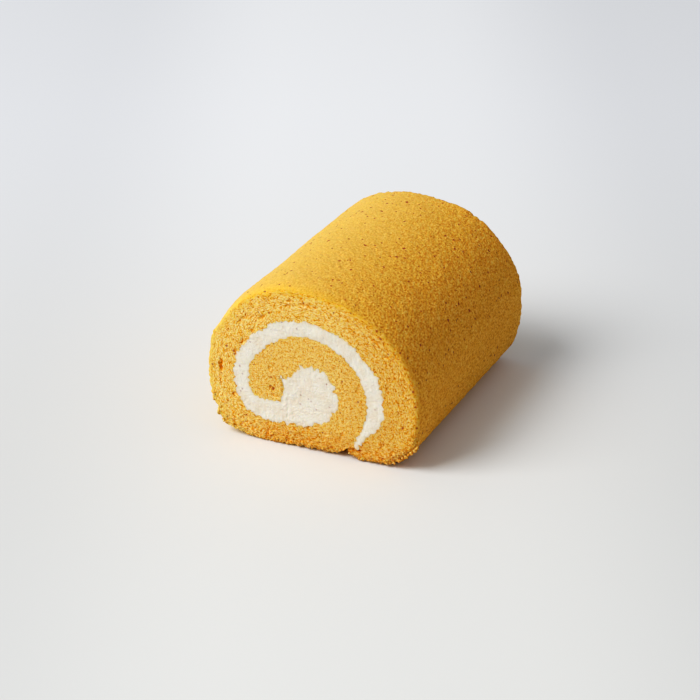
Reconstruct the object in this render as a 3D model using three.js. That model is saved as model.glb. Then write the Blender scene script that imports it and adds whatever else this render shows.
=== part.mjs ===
// Swiss roll cake: a sheet of sponge is spread with cream, rolled up round a thick heart of it,
// set down on its seam and cut square at both ends. Millimetres: X runs across the cut face,
// Y along the roll from the front face to the back, Z up, with the origin under the middle.
import * as THREE from 'three';

const LENGTH = 102;

// A border of the section is a chain of quarter ovals between its turning points, each written
// [x, z, fullness of the quarter that follows]: 2 is an ellipse, less is flatter, more is squarer.
// Every chain leaves its first point level.

// Skin: from the right end of the flat base up over the top to the left end of the base. The knife
// has squeezed the front edge to the first outline. Behind it the body swells to the second one.
const FRONT_SKIN = [[30, 0, 2.35], [42.4, 25, 2], [-3, 63.5, 2], [-42.4, 27, 2.3], [-28, 0, 2]];
const BODY_SKIN = [[30, 0, 2.35], [42.7, 27, 2.03], [-3.5, 64.6, 2.07], [-42.8, 27, 2.3], [-28, 0, 2]];
const SQUEEZE_REACH = 12; // distance from the front face at which the body is full
const BACK_SQUEEZE = 0.13; // squeeze at the back face, as a share of the front's
const SQUEEZE_FADE = 1.5; // power by which the squeeze fades

// Cream, side nearer the skin: tail at the seam, one lap, then round the heart to the pocket
// under the curled end of the sponge.
const CREAM_OUTSIDE = [
  [18.4, 4.8, 1.25], [29.2, 21.5, 2], [-2.5, 52, 1.85], [-31.9, 27, 2.8], [-12, 9, 2.2],
  [10.7, 22, 2.2], [0.4, 35, 0.85], [-12.5, 28.3, 2],
];

// Cream, side nearer the middle: from the pocket round the curled end and back out to the tail.
const CREAM_INSIDE = [
  [-12.5, 28.3, 2], [-11.3, 23, 3], [-18, 17.4, 3], [-25.7, 25, 1.8], [-2, 46, 2],
  [22.6, 22.5, 1.2], [17.4, 5, 2],
];

// Seam: a notch in the base where the flap's thin end meets the lap that it covers.
const NOTCH_LAP_END = [12, 0];
const NOTCH_TOP = [13.6, 4.2];
const NOTCH_FLAP_TIP = [14.4, 3.1];
const NOTCH_FLAP_END = [16.6, 0];

const CREAM_GAP = 0.3; // clearance between the cream and the sponge round it
const CORNER_SHARE = 0.9; // a point nearer than this share of the clearance is in a sharp corner
const SKIN_STEPS = 26; // facets of one quarter of the skin
const CREAM_STEPS = 13; // facets of one quarter of a cream border
const BASE_STEP = 2; // spacing of the points along the flat base

// Crumbly lower edges: the skin breaks away in crags beside both cut faces.
const CRAG_DEPTH = 1.3;
const CRAG_REACH = 6; // distance from a cut face at which the crags have died out
const CRAG_HEIGHT = 13; // height up the side where the crags have died out
const CRAG_WAVES = [7.1, 4.3, 2.9]; // wavelengths that are added up along the outline
const HEART = new THREE.Vector2(-3, 25); // middle of the roll, towards which the crags break in

// Distances of the sections from the front face, and of the last ones from the back face.
const FRONT_INSETS = [0, 1, 2.2, 3.8, 6, 9, 12];
const BACK_INSETS = [6, 3.8, 2.2, 1, 0];

// Points of the quarter oval from one turning point to the next.
function quarter([x0, z0, fullness], [x1, z1], leavesLevel, steps) {
  return Array.from({ length: steps }, (_, i) => {
    const angle = (i / steps) * (Math.PI / 2);
    const lead = Math.sin(angle) ** (2 / fullness);
    const lag = 1 - Math.cos(angle) ** (2 / fullness);
    const [across, up] = leavesLevel ? [lead, lag] : [lag, lead];
    return new THREE.Vector2(x0 + (x1 - x0) * across, z0 + (z1 - z0) * up);
  });
}

// Points of a whole border, including its last turning point.
function border(turns, steps) {
  const points = turns.slice(1).flatMap((turn, i) => quarter(turns[i], turn, i % 2 === 0, steps));
  const [x, z] = turns.at(-1);
  return [...points, new THREE.Vector2(x, z)];
}

// Evenly spaced points from one place to another, without either end.
function between(start, end, step) {
  const count = Math.ceil(start.distanceTo(end) / step);
  return Array.from({ length: count - 1 }, (_, i) => start.clone().lerp(end, (i + 1) / count));
}

// Distance from a point to the straight side between two others.
function distanceToSide(point, start, end) {
  const side = end.clone().sub(start);
  const share = THREE.MathUtils.clamp(point.clone().sub(start).dot(side) / side.lengthSq(), 0, 1);
  return start.clone().addScaledVector(side, share).distanceTo(point);
}

// The closed outline moved inwards by a distance, along the average normal of its neighbours.
// Points that a sharp corner brings too near the outline again are dropped.
function inset(outline, distance) {
  const next = (i) => outline[(i + 1) % outline.length];
  const moved = outline.map((point, i) => {
    const along = next(i).clone().sub(outline.at(i - 1)).normalize();
    return point.clone().add(new THREE.Vector2(-along.y, along.x).multiplyScalar(distance));
  });
  const least = CORNER_SHARE * distance;
  return moved.filter((point) => outline.every((start, i) => distanceToSide(point, start, next(i)) > least));
}

// A closed solid through outlines of equal length at their places along Y, front to back.
function loft(sections) {
  const size = sections[0].outline.length;
  const positions = sections.flatMap(({ y, outline }) => outline.flatMap((p) => [p.x, y, p.y]));
  const index = [];
  for (let k = 0; k < sections.length - 1; k++) {
    for (let i = 0; i < size; i++) {
      const near = k * size + i;
      const nearNext = k * size + ((i + 1) % size);
      index.push(near, nearNext + size, nearNext, near, near + size, nearNext + size);
    }
  }
  const back = (sections.length - 1) * size;
  for (const [a, b, c] of THREE.ShapeUtils.triangulateShape(sections[0].outline, [])) {
    index.push(a, b, c);
  }
  for (const [a, b, c] of THREE.ShapeUtils.triangulateShape(sections.at(-1).outline, [])) {
    index.push(back + a, back + c, back + b);
  }
  const geometry = new THREE.BufferGeometry();
  geometry.setAttribute('position', new THREE.Float32BufferAttribute(positions, 3));
  geometry.setIndex(index);
  geometry.computeVertexNormals();
  return geometry;
}

// Depth of the crags at a distance along the outline: the square of a sum of waves, always inwards.
function cragDepth(distance) {
  const waves = CRAG_WAVES.map((wave, i) => Math.sin((2 * Math.PI * distance) / wave + i));
  const sum = waves.reduce((total, wave) => total + wave) / CRAG_WAVES.length;
  return CRAG_DEPTH * ((1 + sum) / 2) ** 2;
}

// The skin's points near a cut face, broken back towards the middle of the roll.
function craggy(skin, insetFromFace) {
  let distance = 0;
  return skin.map((point, i) => {
    distance += i > 0 ? point.distanceTo(skin[i - 1]) : 0;
    const low = THREE.MathUtils.clamp(1 - point.y / CRAG_HEIGHT, 0, 1);
    const near = Math.max(1 - insetFromFace / CRAG_REACH, 0);
    const depth = cragDepth(distance) * low * near ** 2;
    return point.clone().add(HEART.clone().sub(point).setLength(depth));
  });
}

// Squeeze of the skin at a distance from the front face: 1 is the front outline, 0 the body's.
function squeeze(place) {
  const front = Math.max(1 - place / SQUEEZE_REACH, 0) ** SQUEEZE_FADE;
  const back = Math.max(1 - (LENGTH - place) / CRAG_REACH, 0) ** SQUEEZE_FADE;
  return front + BACK_SQUEEZE * back;
}

function makeSponge() {
  const [lapEnd, notchTop, flapTip, flapEnd] = [
    NOTCH_LAP_END, NOTCH_TOP, NOTCH_FLAP_TIP, NOTCH_FLAP_END,
  ].map(([x, z]) => new THREE.Vector2(x, z));
  const [frontSides, bodySides] = [FRONT_SKIN, BODY_SKIN].map((turns) => border(turns, SKIN_STEPS));
  const baseRight = between(flapEnd, frontSides[0], BASE_STEP);
  const baseLeft = between(frontSides.at(-1), lapEnd, BASE_STEP);
  const inside = border(CREAM_INSIDE, CREAM_STEPS).reverse();
  const outside = border(CREAM_OUTSIDE, CREAM_STEPS).reverse();
  const walls = [notchTop, ...inside, ...outside.slice(1), flapTip];
  const places = [...FRONT_INSETS, ...BACK_INSETS.map((inset) => LENGTH - inset)];
  const sections = places.map((place) => {
    const sides = bodySides.map((point, i) => point.clone().lerp(frontSides[i], squeeze(place)));
    const skin = [flapEnd, ...baseRight, ...sides, ...baseLeft, lapEnd];
    return {
      y: place - LENGTH / 2,
      outline: [...craggy(skin, Math.min(place, LENGTH - place)), ...walls],
    };
  });
  const material = new THREE.MeshStandardMaterial({ color: 0xe6b048, roughness: 0.95, metalness: 0 });
  const mesh = new THREE.Mesh(loft(sections), material);
  mesh.name = 'sponge';
  return mesh;
}

function makeCream() {
  const outside = border(CREAM_OUTSIDE, CREAM_STEPS);
  const inside = border(CREAM_INSIDE, CREAM_STEPS);
  const outline = inset([...outside, ...inside.slice(1)], CREAM_GAP);
  const sections = [-LENGTH / 2, LENGTH / 2].map((y) => ({ y, outline }));
  const material = new THREE.MeshStandardMaterial({ color: 0xf2ead8, roughness: 0.7, metalness: 0 });
  const mesh = new THREE.Mesh(loft(sections), material);
  mesh.name = 'cream_filling';
  return mesh;
}

const group = new THREE.Group();
group.add(makeSponge(), makeCream());

export default group;
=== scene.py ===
"""Swiss roll cake: a sheet of yellow sponge rolled round white cream. It lies on its seam and is cut
square at both ends.

The shapes are worked out in millimetres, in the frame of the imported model: X runs across the cut face,
Y along the roll from the front face to the back, Z up. They become metres where a mesh is made."""

import math

import bpy
import numpy as np
from mathutils import Matrix, Vector
from mathutils.geometry import delaunay_2d_cdt


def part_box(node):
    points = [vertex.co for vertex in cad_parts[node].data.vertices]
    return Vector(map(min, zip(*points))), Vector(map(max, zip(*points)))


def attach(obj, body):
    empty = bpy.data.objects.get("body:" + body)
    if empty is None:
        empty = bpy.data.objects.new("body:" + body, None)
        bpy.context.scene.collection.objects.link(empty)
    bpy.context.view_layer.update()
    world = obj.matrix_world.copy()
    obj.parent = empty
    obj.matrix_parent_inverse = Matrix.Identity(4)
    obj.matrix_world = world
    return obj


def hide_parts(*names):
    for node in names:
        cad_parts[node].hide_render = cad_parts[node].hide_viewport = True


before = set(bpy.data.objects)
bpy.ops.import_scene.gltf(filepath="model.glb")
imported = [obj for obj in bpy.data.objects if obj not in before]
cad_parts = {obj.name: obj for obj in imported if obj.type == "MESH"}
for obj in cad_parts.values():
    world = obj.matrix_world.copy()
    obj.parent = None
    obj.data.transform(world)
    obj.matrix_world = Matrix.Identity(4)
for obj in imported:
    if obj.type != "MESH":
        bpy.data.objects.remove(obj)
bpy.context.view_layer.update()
scene = bpy.context.scene


# ---------------------------------------------------------------------------------------------
# Camera: a long lens looking down on the cut face from its right.

CAMERA_TURN = math.radians(25.55)  # round the roll, from straight in front of the cut face
CAMERA_RISE = math.radians(26.22)  # above the table
CAMERA_ROLL = math.radians(-0.46)
CAMERA_DISTANCE = 0.8738
CAMERA_AIM = Vector((-0.0336, 0.0526, -0.0118))
CAMERA_LENS = 108

camera_data = bpy.data.cameras.new("camera")
camera_data.lens = CAMERA_LENS
camera = bpy.data.objects.new("camera", camera_data)
camera_turn = (
    Matrix.Rotation(CAMERA_TURN, 4, "Z")
    @ Matrix.Rotation(math.pi / 2 - CAMERA_RISE, 4, "X")
    @ Matrix.Rotation(CAMERA_ROLL, 4, "Z")
)
camera_aimed = Matrix.Translation(CAMERA_AIM) @ camera_turn
camera.matrix_world = camera_aimed @ Matrix.Translation((0, 0, CAMERA_DISTANCE))
scene.collection.objects.link(camera)
scene.camera = camera


# ---------------------------------------------------------------------------------------------
# Table: a wide pale matt floor under soft light from a large window, high on the left and a little
# in front, with a weak even light from all round. The floor is a grid, its colour painted lighter far off
# and with painted shade to the left and right of the roll.


class Wire:
    """One output of a material's node. Arithmetic on wires and numbers adds Math nodes."""

    def __init__(self, socket):
        self.socket = socket

    def node(self, kind, settings, inputs, output=0):
        """Adds a node of a kind: its settings first, then the values or wires of its sockets."""
        tree = self.socket.id_data
        node = tree.nodes.new("ShaderNode" + kind)
        for name, value in settings.items():
            setattr(node, name, value)
        for name, value in inputs.items():
            if isinstance(value, Wire):
                tree.links.new(value.socket, node.inputs[name])
            else:
                node.inputs[name].default_value = value
        return Wire(node.outputs[output])

    def math(self, operation, first, second):
        return self.node("Math", {"operation": operation}, {0: first, 1: second})

    def __add__(self, other):
        return self.math("ADD", self, other)

    def __sub__(self, other):
        return self.math("SUBTRACT", self, other)

    def __rsub__(self, other):
        return self.math("SUBTRACT", other, self)

    def __mul__(self, other):
        return self.math("MULTIPLY", self, other)

    __radd__ = __add__
    __rmul__ = __mul__

    def __abs__(self):
        return self.math("ABSOLUTE", self, 0)

    def greater(self, other):
        """The greater of the two."""
        return self.math("MAXIMUM", self, other)

    def rise(self, start, end):
        """0 before the start, 1 past the end, and a smooth step between."""
        limits = {0: self, 1: start, 2: end}
        return self.node("MapRange", {"interpolation_type": "SMOOTHSTEP"}, limits)

    def colour(self, none, full):
        """A colour between two, by this share."""
        return self.node("Mix", {"data_type": "RGBA"}, {0: self, 6: none, 7: full}, output=2)

    def tinted(self, share, tint):
        """This colour, multiplied by a tint as far as a share says."""
        settings = {"data_type": "RGBA", "blend_type": "MULTIPLY"}
        return self.node("Mix", settings, {0: share, 6: self, 7: tint}, output=2)

    def feed(self, shader, socket):
        """Leads this wire to a socket of the shader."""
        self.socket.id_data.links.new(self.socket, shader.inputs[socket])


def rgb(red, green, blue):
    """A screen colour, of parts from 0 to 255, as the light that it stands for."""
    parts = np.array([red, green, blue]) / 255
    light = np.where(parts < 0.04045, parts / 12.92, ((parts + 0.055) / 1.055) ** 2.4)
    return (*light.tolist(), 1)


def new_finish(name, constants):
    """A material, its shader with some constant values, and a wire of Object coordinates in millimetres."""
    material = bpy.data.materials.new(name)
    material.use_nodes = True
    shader = material.node_tree.nodes["Principled BSDF"]
    for socket, value in constants.items():
        shader.inputs[socket].default_value = value
    metres = Wire(material.node_tree.nodes.new("ShaderNodeTexCoord").outputs["Object"])
    place = metres.node("VectorMath", {"operation": "SCALE"}, {0: metres, "Scale": 1000})
    return material, shader, place


FLOOR_HALF = 4.0
FLOOR_SQUARES = 8
# Painted light and shade: the floor is darker and warmer near, lighter far off.
FLOOR_NEAR_PAINTED_SHADE = rgb(229, 229, 226)
FLOOR_FAR_PAINTED_LIGHT = rgb(240, 241, 243)
FLOOR_PAINTED_SHADE_ASIDE = (0.872, 0.875, 0.885, 1)  # painted shade, a tint to the left and right of the roll
FLOOR_DEPTHS = (-100, 350)  # where the floor has its near colour and where its far one, mm
FLOOR_SIDES = (40, 150)  # how far aside the tint begins and where it is full, mm

floor_finish, floor_shader, floor_place = new_finish("floor_painted_light_and_shade", {"Roughness": 0.8})
floor_parts = {axis: floor_place.node("SeparateXYZ", {}, {0: floor_place}, axis) for axis in "XY"}
floor_aside = floor_parts["X"] * math.cos(CAMERA_TURN) + floor_parts["Y"] * math.sin(CAMERA_TURN)
floor_depth = floor_parts["Y"] * math.cos(CAMERA_TURN) - floor_parts["X"] * math.sin(CAMERA_TURN)
floor_colour = floor_depth.rise(*FLOOR_DEPTHS).colour(FLOOR_NEAR_PAINTED_SHADE, FLOOR_FAR_PAINTED_LIGHT)
floor_colour.tinted(abs(floor_aside).rise(*FLOOR_SIDES), FLOOR_PAINTED_SHADE_ASIDE).feed(floor_shader, "Base Color")

floor_line = np.linspace(-FLOOR_HALF, FLOOR_HALF, FLOOR_SQUARES + 1)
floor_x, floor_y = np.meshgrid(floor_line, floor_line)
floor_points = np.stack([floor_x, floor_y, 0 * floor_x], -1).reshape(-1, 3)
floor_numbers = np.arange(floor_x.size).reshape(floor_x.shape)
floor_low, floor_high = floor_numbers[:-1], floor_numbers[1:]
floor_corners = [floor_low[:, :-1], floor_low[:, 1:], floor_high[:, 1:], floor_high[:, :-1]]
floor_mesh = bpy.data.meshes.new("floor")
floor_mesh.from_pydata(floor_points.tolist(), [], np.stack(floor_corners, -1).reshape(-1, 4).tolist())
floor_mesh.materials.append(floor_finish)
floor = bpy.data.objects.new("floor", floor_mesh)
scene.collection.objects.link(floor)

WINDOW_PLACE = Vector((-1.4, -1.4, 2.05))
WINDOW_SIDE = 1.7
WINDOW_POWER = 75
ROOM_LIGHT = 0.41
ROOM_WHITE = rgb(250, 252, 255)

window_data = bpy.data.lights.new("window", "AREA")
window_data.size = WINDOW_SIDE
window_data.energy = WINDOW_POWER
window = bpy.data.objects.new("window", window_data)
window_turn = WINDOW_PLACE.to_track_quat("Z", "Y").to_matrix().to_4x4()
window.matrix_world = Matrix.Translation(WINDOW_PLACE) @ window_turn
scene.collection.objects.link(window)

room = bpy.data.worlds.new("room")
room.use_nodes = True
room.node_tree.nodes["Background"].inputs["Color"].default_value = ROOM_WHITE
room.node_tree.nodes["Background"].inputs["Strength"].default_value = ROOM_LIGHT
scene.world = room

# The view's tones [light, tone]: dark parts fall off a little faster than their light.
VIEW_TONES = [[0.01, 0.0017], [0.03, 0.0096], [0.05, 0.0218], [0.1, 0.066], [0.2, 0.162], [0.4, 0.4]]

scene.view_settings.view_transform = "Standard"
scene.view_settings.use_curve_mapping = True
tone_curve = scene.view_settings.curve_mapping.curves[3]
for light, tone in VIEW_TONES:
    tone_curve.points.new(light, tone)
scene.view_settings.curve_mapping.update()


# ---------------------------------------------------------------------------------------------
# Sponge: one sheet of light yellow genoise, thin skin outwards, rolled up tight from its curled
# end to the flap at the seam. It is a closed shell: the two cut faces and the skin are grids of
# points, with the open crumb pressed into them, and hidden walls along the cream close it.


def quarter_ovals(turns, steps=80):
    """A chain of quarter ovals between turning points [x, z, fullness of the quarter that follows].

    Over a quarter turn the leading direction goes as sin^(2/fullness) and the other as
    1 - cos^(2/fullness). The chain leaves its first point level and its second one upright."""
    x, z, fullness = np.array(turns, float).T
    angle = np.arange(steps) / steps * np.pi / 2
    power = 2 / fullness[:-1, None]
    lead, lag = np.sin(angle) ** power, 1 - np.cos(angle) ** power
    leaves_level = (np.arange(len(turns) - 1) % 2 == 0)[:, None]
    across = x[:-1, None] + np.diff(x)[:, None] * np.where(leaves_level, lead, lag)
    up = z[:-1, None] + np.diff(z)[:, None] * np.where(leaves_level, lag, lead)
    return np.vstack([np.stack([across.ravel(), up.ravel()], -1), [x[-1], z[-1]]])


def run_lengths(path):
    """How far along a path each of its points lies."""
    return np.insert(np.cumsum(np.linalg.norm(np.diff(path, axis=0), axis=1)), 0, 0)


def walk(path, at, values=None):
    """The points at given distances along a path, or what pairs of values at its points are there."""
    along = run_lengths(path)
    first, second = (path if values is None else values).T
    return np.stack([np.interp(at, along, first), np.interp(at, along, second)], -1)


def nearest(path, place):
    """The distance along a path of its point nearest to a place."""
    return run_lengths(path)[np.argmin(np.linalg.norm(path - place, axis=1))]


def left_of(path):
    """Unit normals to the left of a path, across the line between each point's neighbours."""
    ahead = np.gradient(path, axis=0)
    ahead /= np.linalg.norm(ahead, axis=1)[:, None]
    return np.stack([-ahead[:, 1], ahead[:, 0]], -1)


def smooth_step(value, start, end):
    """0 before the start, 1 past the end, and a cubic step between."""
    share = np.clip((value - start) / (end - start), 0, 1)
    return share * share * (3 - 2 * share)


def draw(seed, *cells):
    """A random share from 0 to 1 for each whole-numbered cell, by mixing the bits of its numbers."""
    bits = np.full(np.broadcast_shapes(*map(np.shape, cells)), seed * 7919 + 1, np.uint32)
    for cell in cells:
        bits = (bits ^ np.asarray(cell).astype(np.int64).astype(np.uint32)) * np.uint32(0x9E3779B1)
        bits = (bits ^ (bits >> np.uint32(15))) * np.uint32(0x85EBCA6B)
        bits ^= bits >> np.uint32(13)
    return bits / 2.0**32


NOISE_SCALE = 2.2  # brings noise to heights of about 1
AXIS_SEED = 500  # between the seeds of noise's slopes along each axis


def noise(size, seed, *places):
    """Smooth noise from about -1 to 1: slopes drawn at whole multiples of a size, each 0 high at its own
    corner, blended by a smooth step."""
    cells = [np.floor(place / size) for place in places]
    height = 0
    for corner in np.ndindex(*[2] * len(places)):
        ends = [cell + side for cell, side in zip(cells, corner)]
        weight, rise = 1, 0
        for axis, (place, end) in enumerate(zip(places, ends)):
            gone = place / size - end
            weight = weight * smooth_step(np.abs(gone), 1, 0)
            rise = rise + gone * (2 * draw(seed + AXIS_SEED * axis, *ends) - 1)
        height = height + weight * rise
    return NOISE_SCALE * height


def waves(kinds, seed, *places):
    """The sum of several kinds of noise [size, height], each with the next seed."""
    return sum(height * noise(size, seed + step, *places) for step, (size, height) in enumerate(kinds))


def pits(cell, share, least, most, seed, u, v):
    """Depth of round pits on a surface with coordinates u and v: half balls with radii between least and
    most, one at a random place in a share of the square cells. A pit can reach into the next cells."""
    depth = 0
    for across, up in np.ndindex(3, 3):
        a, b = np.floor(u / cell) + across - 1, np.floor(v / cell) + up - 1
        radius = least + (most - least) * draw(seed, a, b) ** 2
        gone = np.hypot(u - (a + draw(seed + 1, a, b)) * cell, v - (b + draw(seed + 2, a, b)) * cell)
        ball = np.sqrt(np.maximum(radius**2 - gone**2, 0))
        depth = np.maximum(depth, np.where(draw(seed + 3, a, b) < share, ball, 0))
    return depth


# Borders of the section, as in the solid: the skin from the right end of the flat base over the top
# to its left end, squeezed by the knife at the front and full behind it, and the cream's two
# borders from its tail at the seam to the pocket that the curled end leaves.
FRONT_SKIN = [[30, 0, 2.35], [42.4, 25, 2], [-3, 63.5, 2], [-42.4, 27, 2.3], [-28, 0, 2]]
BODY_SKIN = [[30, 0, 2.35], [42.7, 27, 2.03], [-3.5, 64.6, 2.07], [-42.8, 27, 2.3], [-28, 0, 2]]
CREAM_OUTSIDE = [
    [18.4, 4.8, 1.25], [29.2, 21.5, 2], [-2.5, 52, 1.85], [-31.9, 27, 2.8], [-12, 9, 2.2],
    [10.7, 22, 2.2], [0.4, 35, 0.85], [-12.5, 28.3, 2],
]
CREAM_INSIDE = [
    [-12.5, 28.3, 2], [-11.3, 23, 3], [-18, 17.4, 3], [-25.7, 25, 1.8], [-2, 46, 2], [22.6, 22.5, 1.2],
    [17.4, 5, 2],
]
FLAP_END, FLAP_TIP = [15, 0], [14.2, 3.7]
LAP_END, NOTCH_TOP = [11, 0], [13.8, 4.2]

# Bites [x, z, push, reach]: where a border is pushed towards the middle of the roll, or out of it.
OUTSIDE_BITES = [
    [19.6, 6, 0.9, 1.2], [21.3, 7.8, 1.5, 1.2], [22.9, 9.5, 1.6, 1.4], [24.2, 11.4, 1, 1.3],
    [27, 16, -0.4, 1.2], [29, 20.2, -0.6, 1.2], [29.2, 24, 0.6, 2.4], [26.1, 35.6, -0.9, 1.4],
    [21.3, 41.8, 0.6, 2], [6, 50.8, 0.4, 3], [-4.8, 51.9, 1, 1.3], [-8.6, 51.3, 0.5, 1],
    [-18.7, 47.1, 0.9, 1.6], [-20.8, 45.8, 0.9, 1.6], [-23, 44.1, 0.6, 1.2], [-25.6, 41.4, 1.1, 1.8],
    [-27.6, 38.7, 1.2, 1.8], [-29.6, 35.2, 0.7, 1.6], [-31.2, 30.6, 0.9, 1.8], [-31.8, 25.6, 0.4, 1],
    [-31.8, 24, 0.8, 0.7], [-31.4, 20.2, 0.9, 1], [-30.6, 17.4, 0.4, 0.9], [-29.7, 15.7, 0.9, 0.9],
    [-28.5, 14, 0.6, 1], [-26.4, 12, -0.3, 0.8], [-23.5, 10.5, 0.5, 0.9], [-12, 9, 0.9, 1],
    [-9.8, 9, -0.5, 0.6], [-7.5, 9.2, 0.8, 1.3], [-2, 11.2, 1, 1], [0, 10, -0.7, 0.7],
    [2, 11.8, 0.8, 1.3], [4, 11, -1, 0.7], [8.3, 15.4, 0.7, 0.8], [9.4, 17, 1.4, 0.7],
    [10.1, 26.6, 1.9, 0.6], [9.7, 28.6, -0.6, 0.6], [8.2, 30.8, 1.5, 1.6], [6.4, 32.9, 0.8, 0.8],
    [4.2, 34.2, 1.5, 0.6], [1.8, 34.9, 1.5, 0.7], [0.2, 35, -0.6, 0.4], [-2.2, 33.5, -0.6, 1],
    [-3.5, 32.6, -3, 0.7], [-5, 31.8, -0.7, 0.7], [-8.8, 30, 1.2, 1.3], [-10.7, 29.1, 1.8, 0.8],
]
INSIDE_BITES = [
    [19.3, 9.6, 0.8, 1.2], [18.2, 7, 1.1, 1.4], [22.4, 24.5, 0.3, 2], [15.5, 38.8, 0.4, 2],
    [11, 42.2, 0.5, 1.6], [-10.6, 44.1, 0.5, 1], [-14.6, 41.9, 0.5, 1.2], [-17, 40.2, -0.4, 0.6],
    [-20.2, 37.2, 0.5, 1.2], [-22.4, 34.2, -0.3, 0.8], [-24.6, 31, -0.8, 1.2], [-25.6, 26, 0.4, 0.8],
    [-25.2, 21, 0.4, 1], [-13.2, 18.2, -0.5, 0.7], [-11.6, 20, 0.3, 0.6], [-11.3, 23.4, -0.4, 0.5],
    [-11.6, 26.2, 1, 0.9], [-12, 27.4, 1.3, 0.6],
]
SKIN_BITES = [  # near the front
    [-41.3, 38.4, -0.8, 1.4], [-39.9, 41.2, -0.6, 1.2], [-36.6, 44.2, 0.7, 1.8], [-33.6, 48.6, 0.8, 2.4],
    [-30.4, 52, 0.6, 1.6], [15.4, 61, -0.8, 2.5], [-38.6, 7, -0.5, 1], [-39.8, 9.8, 1.3, 1.3],
    [-40.6, 12.4, 0.4, 1.4], [41.4, 11, -0.9, 1.4], [40.2, 8.6, -0.5, 0.8],
]
BACK_BITES = [  # near the back
    [17.5, 59.3, -0.9, 7], [26.5, 54.2, -0.6, 4.5], [21.3, 57.5, 0.6, 0.8], [24, 56, 0.5, 0.8],
]
BORDER_STEP = 0.1
TORN_WAVES = [[2.1, 0.27], [1.3, 0.45], [0.7, 0.27]]  # how a torn border of the crumb strays
CALM_END = 1.2  # length over which a border keeps to its own ends


def evenly(path):
    """The path with a point at each border step."""
    length = run_lengths(path)[-1]
    return walk(path, np.linspace(0, length, round(length / BORDER_STEP)))


def bitten(path, bites):
    """How far each point of a path is pushed to its left by bites: push * exp(-(distance / reach)^2)."""
    total = 0
    for x, z, push, reach in bites:
        total = total + push * np.exp(-((np.hypot(*(path - [x, z]).T) / reach) ** 2))
    return total


def torn(path, bites, seed):
    """A border of the crumb: the path moved to its left by bites and by three sizes of noise."""
    along = run_lengths(path)
    stray = waves(TORN_WAVES, seed, along) + bitten(path, bites)
    calm = smooth_step(np.minimum(along, along[-1] - along), 0, CALM_END)
    return path + left_of(path) * (stray * calm)[:, None]


smooth_outside = evenly(quarter_ovals(CREAM_OUTSIDE))
smooth_inside = evenly(quarter_ovals(CREAM_INSIDE))[::-1]
outside = torn(smooth_outside, OUTSIDE_BITES, 11)
inside = torn(smooth_inside, INSIDE_BITES, 13)
front_skin = np.vstack([FLAP_END, quarter_ovals(FRONT_SKIN), LAP_END])
body_skin = np.vstack([FLAP_END, quarter_ovals(BODY_SKIN), LAP_END])
skin_outline = evenly(front_skin)
skin_swell = walk(front_skin, run_lengths(skin_outline), body_skin - front_skin)
skin_left = left_of(skin_outline)
skin_bites = np.stack([bitten(skin_outline, SKIN_BITES), bitten(skin_outline, BACK_BITES)], -1)

# The sheet's two sides, from the flap at the seam to the curled end: the skin and then the cream's
# inside border, and the cream's outside border.
sheet_outer = np.vstack([skin_outline, NOTCH_TOP, inside])
sheet_inner = np.vstack([FLAP_TIP, outside])
skin_end = run_lengths(skin_outline)[-1]
END_BLUNT = 0.5  # length left off both sides where they meet in the pocket

# Places that face each other across the sheet's thickness.
SHEET_PARTNERS = [
    [(30, 0), (22, 10.5)], [(42.4, 25), (29.2, 21.5)], [(-3, 63.5), (-2.5, 52)], [(-42.4, 27), (-31.9, 27)],
    [(-36.5, 5.5), (-27.5, 12.5)], [(-12, 0), (-12, 9)], [(12, 0), (5, 12)], [(17.4, 5), (9.5, 17)],
    [(22.6, 24), (10.6, 24)], [(-2, 46), (0.4, 35)], [(-22, 35), (-9, 29.8)], [(-25.7, 25), (-11.7, 28.6)],
]


def partner(outer, inner, places, at):
    """The distance along the inner path that faces a distance along the outer path."""
    outer_stops = [0, *[nearest(outer, place) for place, _ in places], run_lengths(outer)[-1] - END_BLUNT]
    inner_stops = [0, *[nearest(inner, place) for _, place in places], run_lengths(inner)[-1] - END_BLUNT]
    return np.interp(at, outer_stops, inner_stops)


# Beside the cut faces the rim is rounded, the base lifts off the table and the lower edges are ragged.
HALF_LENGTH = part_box("sponge")[1].y * 1000
BASE_LIFT = [
    [-40, 8], [-38.4, 7.2], [-37.6, 6.4], [-37.2, 4.8], [-36.4, 3.8], [-35, 3.3], [-33, 3.1], [-31, 2.4],
    [-29, 2], [-28, 1.6], [-27.2, 0.9], [-24, 0.6], [-17, 0.2], [-8, 0.7], [0, 1.2], [9, 1.4],
    [10.3, 1.7], [11, 2.1], [12, 3.1], [14.3, 2.5], [16.6, 2.2], [17.2, 1.6], [20, 1.1], [26, 0.9],
    [28, 1.2], [30, 1.8], [32, 2.2], [33, 2.8], [33.4, 3.6], [35, 5], [35.5, 6.3], [37.8, 7.4],
    [38.3, 9.1], [40.1, 10.3], [40.5, 11.6], [42, 13.5],
]
LIFT_WAVES = [[2.6, 0.45], [1.2, 0.3]]
NOTCH_MIDDLE = 13
LIFT_REACH = 7.0
UNDERCUT = (33.1, 1.14)  # where the lower right edge begins to rise off the table, and its slope
SQUEEZE_REACH, BACK_SQUEEZE, BACK_SQUEEZE_REACH = 12.0, 0.13, 6.0
SKIN_WAVES = [[31, 0.32], [9, 0.16], [3.2, 0.09]]
SKIN_GRAIN_SIZE, SKIN_GRAIN_DEPTH = 1.7, 0.1
DIMPLE_DEPTH = 0.22  # as a share of a round pit's
RIM_RADIUS, WORN_RADIUS = 0.9, 1.6  # of the rounded rim, and where it has crumbled on the front's right
RIM_SINK = 0.1
RIM_WAVES = [[1.3, 0.25], [2.3, 0.2]]
RIM_REACH = 2.2
CRAG_DEPTH = 1.8
CRAG_REACH = 3.5
CRAG_HEIGHT = 12.0


def rim_radius(at, side):
    """Radius of the rounded rim of a cut face at distances round the sheet."""
    worn = smooth_step(walk(skin_outline, at)[..., 0], 14, 38) * (side < 0)
    return RIM_RADIUS + (WORN_RADIUS - RIM_RADIUS) * worn


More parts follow.
